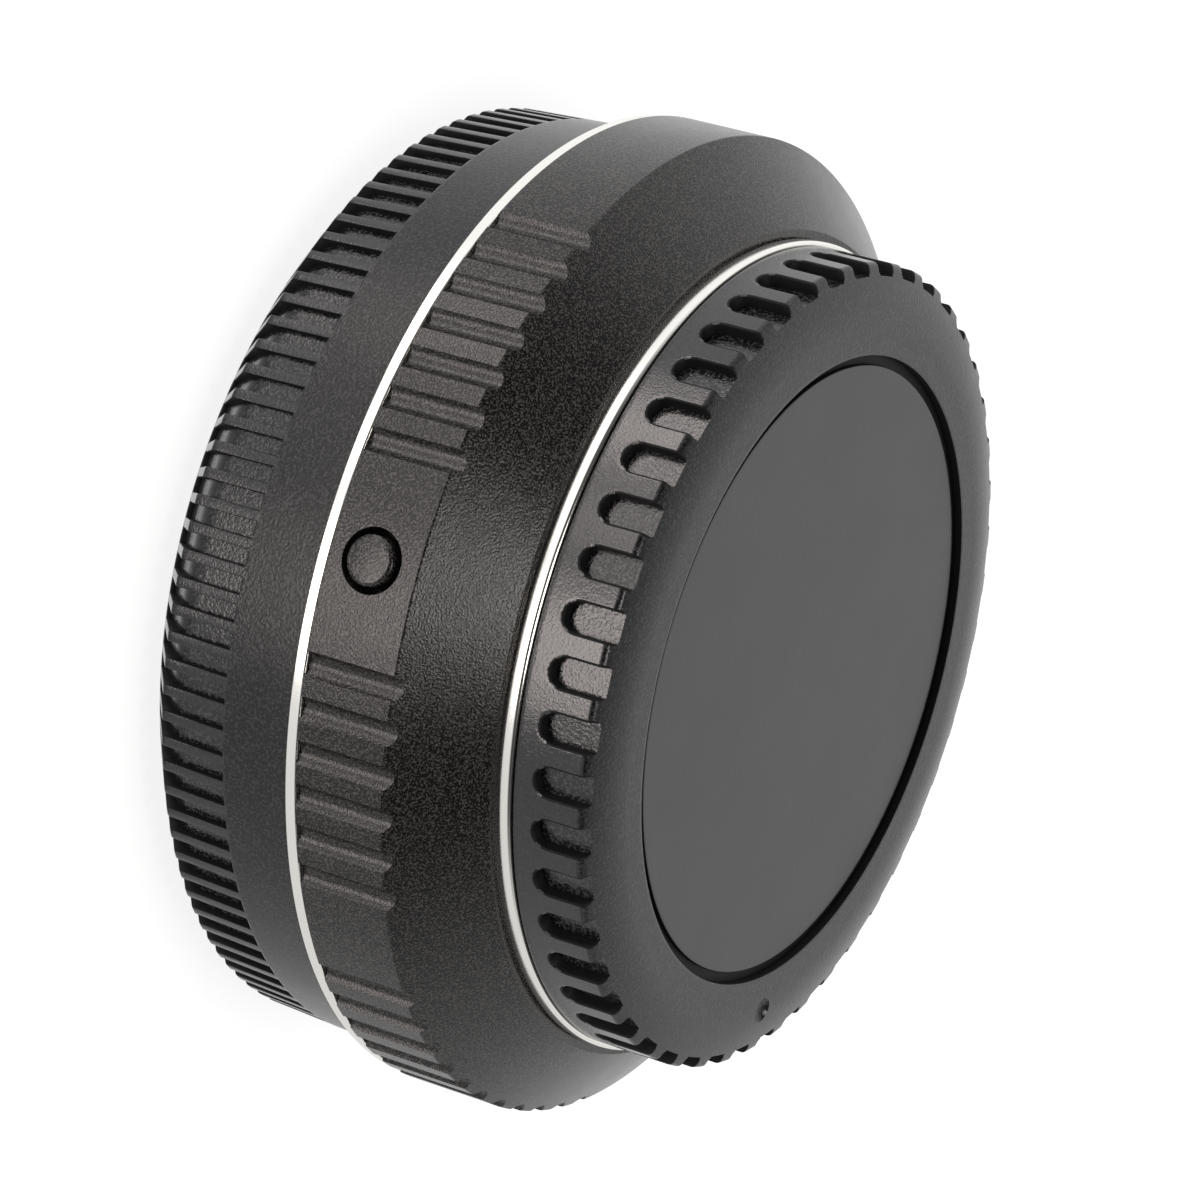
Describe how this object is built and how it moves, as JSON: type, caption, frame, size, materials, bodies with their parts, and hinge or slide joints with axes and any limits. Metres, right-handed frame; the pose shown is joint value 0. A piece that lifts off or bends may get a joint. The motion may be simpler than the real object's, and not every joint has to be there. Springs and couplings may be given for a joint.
{
  "type": "lens mount adapter",
  "caption": "Short black lens mount adapter with a coned, grooved housing, chrome bayonet mounts, a release button and a slotted dust cap locked on each side.",
  "frame": {"origin": "centre of the rear cap's underside, on the optical axis, at the surface the part stands on", "axes": "+Z along the optical axis, from the camera side to the lens side; -Y towards the release button"},
  "size_m": [0.0842, 0.0847, 0.0397],
  "materials": {
    "blasted_black": "bead blasted, black anodised",
    "cap_black": "moulded, fine leather-like grain, semi-matte",
    "mount_chrome": "turned and chrome plated",
    "steel": "plain bright steel",
    "baffle_black": "dull light-trap black",
    "contact_gold": "gold plated",
    "board_green": "solder mask",
    "connector_ivory": "moulded",
    "flex_amber": "polyimide film"
  },
  "bodies": {
    "housing": {"housing": "blasted_black", "lens_mount_ring": "mount_chrome", "camera_mount": "mount_chrome", "lens_mount_screws": "steel", "mount_spring": "steel", "button_spring": "steel", "spring_post": "steel", "baffle_screws": "steel", "lens_block_screws": "steel", "camera_mount_screws": "steel", "camera_block_screws": "steel", "board_screws": "steel", "contact_spring_1": "steel", "contact_spring_2": "steel", "contact_spring_3": "steel", "contact_spring_4": "steel", "contact_spring_5": "steel", "contact_spring_6": "steel", "contact_spring_7": "steel", "contact_spring_8": "steel", "inner_baffle": "baffle_black", "lens_contact_block": "baffle_black", "camera_contact_block": "baffle_black", "controller_chip": "baffle_black", "contact_barrels": "contact_gold", "camera_contact_pads": "contact_gold", "circuit_board": "board_green", "front_connector": "connector_ivory", "rear_connector": "connector_ivory", "front_flex": "flex_amber", "rear_flex": "flex_amber"},
    "front_cap": {"front_cap": "cap_black"},
    "rear_cap": {"rear_cap": "cap_black"},
    "release_button": {"release_button": "blasted_black"},
    "lock_pin": {"lock_pin": "steel", "lock_cross_pin": "steel"},
    "contact_pin_1": {"contact_pin_1": "contact_gold"},
    "contact_pin_2": {"contact_pin_2": "contact_gold"},
    "contact_pin_3": {"contact_pin_3": "contact_gold"},
    "contact_pin_4": {"contact_pin_4": "contact_gold"},
    "contact_pin_5": {"contact_pin_5": "contact_gold"},
    "contact_pin_6": {"contact_pin_6": "contact_gold"},
    "contact_pin_7": {"contact_pin_7": "contact_gold"},
    "contact_pin_8": {"contact_pin_8": "contact_gold"}
  },
  "joints": [
    {"name": "front_cap_turn", "type": "hinge", "parent": "housing", "child": "front_cap", "pos_m": [0, 0, 0.0324], "axis": [0, 0, 1], "range_deg": [0, 60]},
    {"name": "rear_cap_turn", "type": "hinge", "parent": "housing", "child": "rear_cap", "pos_m": [0, 0, 0.016], "axis": [0, 0, -1], "range_deg": [0, 60]},
    {"name": "button_press", "type": "slide", "parent": "housing", "child": "release_button", "axis": [0, 1, 0], "range_m": [0, 0.0012], "stiffness_N_per_m": 800, "deforming": ["button_spring"]},
    {"name": "lock_pin_draw", "type": "slide", "parent": "housing", "child": "lock_pin", "axis": [0, 0, -1], "range_m": [0, 0.0012]},
    {"name": "contact_1_press", "type": "slide", "parent": "housing", "child": "contact_pin_1", "axis": [0, 0, -1], "range_m": [0, 0.0008], "stiffness_N_per_m": 300, "deforming": ["contact_spring_1"]},
    {"name": "contact_2_press", "type": "slide", "parent": "housing", "child": "contact_pin_2", "axis": [0, 0, -1], "range_m": [0, 0.0008], "stiffness_N_per_m": 300, "deforming": ["contact_spring_2"]},
    {"name": "contact_3_press", "type": "slide", "parent": "housing", "child": "contact_pin_3", "axis": [0, 0, -1], "range_m": [0, 0.0008], "stiffness_N_per_m": 300, "deforming": ["contact_spring_3"]},
    {"name": "contact_4_press", "type": "slide", "parent": "housing", "child": "contact_pin_4", "axis": [0, 0, -1], "range_m": [0, 0.0008], "stiffness_N_per_m": 300, "deforming": ["contact_spring_4"]},
    {"name": "contact_5_press", "type": "slide", "parent": "housing", "child": "contact_pin_5", "axis": [0, 0, -1], "range_m": [0, 0.0008], "stiffness_N_per_m": 300, "deforming": ["contact_spring_5"]},
    {"name": "contact_6_press", "type": "slide", "parent": "housing", "child": "contact_pin_6", "axis": [0, 0, -1], "range_m": [0, 0.0008], "stiffness_N_per_m": 300, "deforming": ["contact_spring_6"]},
    {"name": "contact_7_press", "type": "slide", "parent": "housing", "child": "contact_pin_7", "axis": [0, 0, -1], "range_m": [0, 0.0008], "stiffness_N_per_m": 300, "deforming": ["contact_spring_7"]},
    {"name": "contact_8_press", "type": "slide", "parent": "housing", "child": "contact_pin_8", "axis": [0, 0, -1], "range_m": [0, 0.0008], "stiffness_N_per_m": 300, "deforming": ["contact_spring_8"]}
  ],
  "couplings": [
    {"joint": "lock_pin_draw", "follows": "button_press", "ratio": 1}
  ]
}
